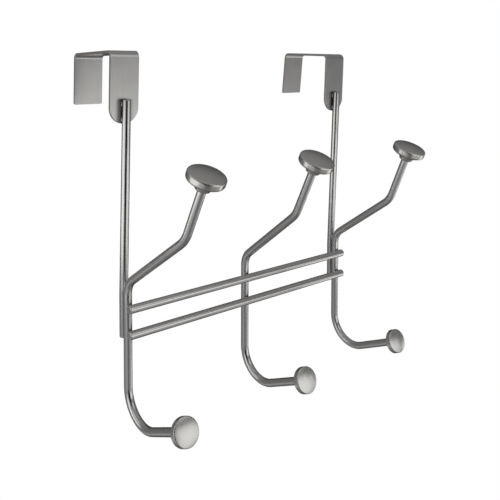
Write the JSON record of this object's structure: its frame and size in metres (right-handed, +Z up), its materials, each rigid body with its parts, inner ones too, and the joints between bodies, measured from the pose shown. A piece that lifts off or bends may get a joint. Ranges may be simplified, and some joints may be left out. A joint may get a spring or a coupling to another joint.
{
  "type": "over door hook",
  "caption": "Over-the-door coat rack of bent round wire in satin nickel: strap brackets, straight crossbars, and hooks with a broad upper knob and a smaller lower knob.",
  "frame": {"origin": "on the door's top front edge, midway between the brackets", "axes": "+X along the rack to its right end as seen from the room, +Y into the door, +Z up, in the pose in which it hangs"},
  "size_m": [0.2226, 0.1408, 0.24],
  "materials": {
    "satin_wire": "satin nickel plate on bent round steel wire",
    "satin_strap": "satin nickel plate on bent steel strap",
    "satin_knob": "satin nickel plate on a turned knob"
  },
  "bodies": {
    "root": {"bracket_left": "satin_strap", "bracket_right": "satin_strap", "upright_left": "satin_wire", "upright_right": "satin_wire", "crossbar_upper": "satin_wire", "crossbar_lower": "satin_wire", "hook_left": "satin_wire", "hook_center": "satin_wire", "hook_right": "satin_wire", "knob_upper_left": "satin_knob", "knob_lower_left": "satin_knob", "knob_upper_center": "satin_knob", "knob_lower_center": "satin_knob", "knob_upper_right": "satin_knob", "knob_lower_right": "satin_knob"}
  },
  "joints": []
}
